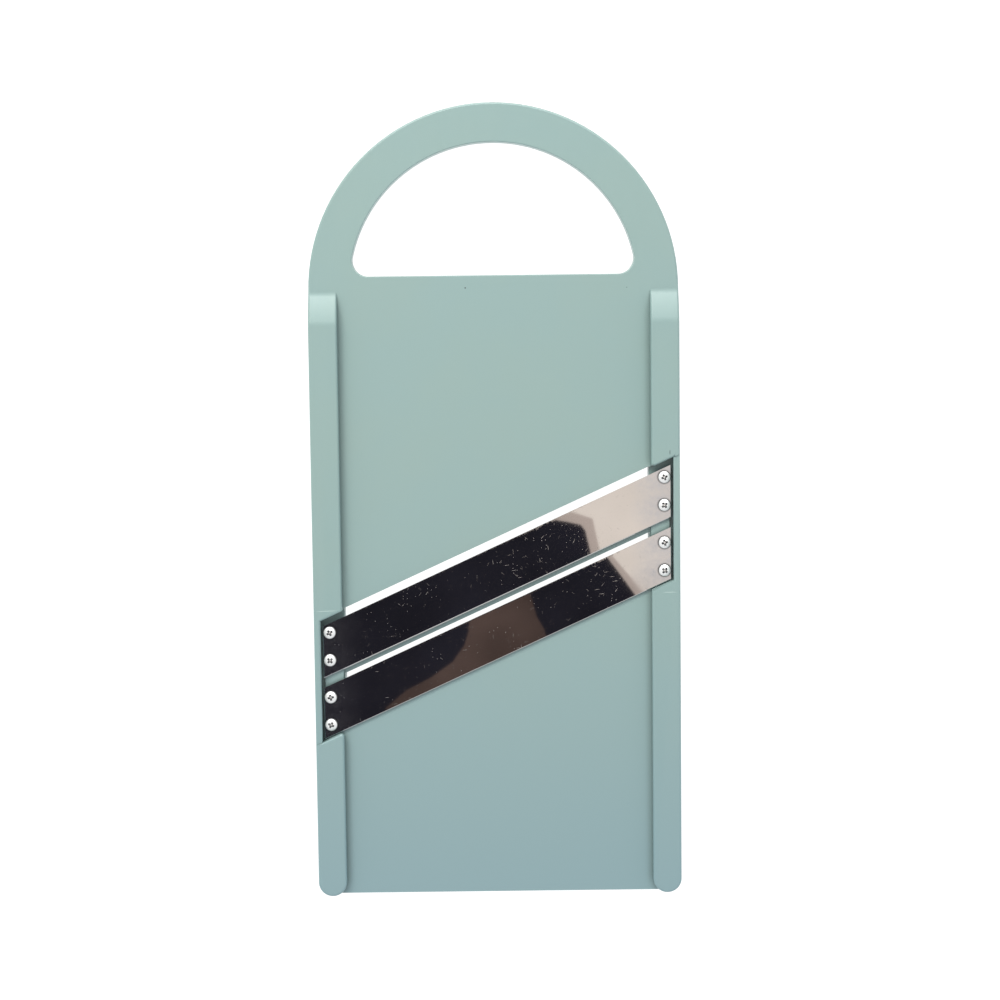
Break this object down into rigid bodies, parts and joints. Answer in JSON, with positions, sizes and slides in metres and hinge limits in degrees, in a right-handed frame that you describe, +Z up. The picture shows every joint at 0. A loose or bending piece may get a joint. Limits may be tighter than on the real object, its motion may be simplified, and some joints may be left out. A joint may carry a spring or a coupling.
{
  "type": "mandoline slicer",
  "caption": "Flat moulded slicing board with an arched handle, two side rails and two slanted steel blades, each screwed down at both ends.",
  "frame": {"origin": "middle of the board's underside, on the surface that the board stands on", "axes": "+Y along the board towards the handle, +Z up from the feed deck, +X to the right when the handle points away from the viewer"},
  "size_m": [0.16, 0.3456, 0.0155],
  "materials": {
    "board_plastic": "satin injection-moulded plastic, pale grey sea-green",
    "blade_steel": "mirror-polished stainless steel with fine scratches",
    "screw_zinc": "bright zinc plating"
  },
  "bodies": {
    "root": {"board": "board_plastic", "upper_blade": "blade_steel", "lower_blade": "blade_steel", "screw_left_1": "screw_zinc", "screw_left_2": "screw_zinc", "screw_left_3": "screw_zinc", "screw_left_4": "screw_zinc", "screw_right_1": "screw_zinc", "screw_right_2": "screw_zinc", "screw_right_3": "screw_zinc", "screw_right_4": "screw_zinc"}
  },
  "joints": []
}
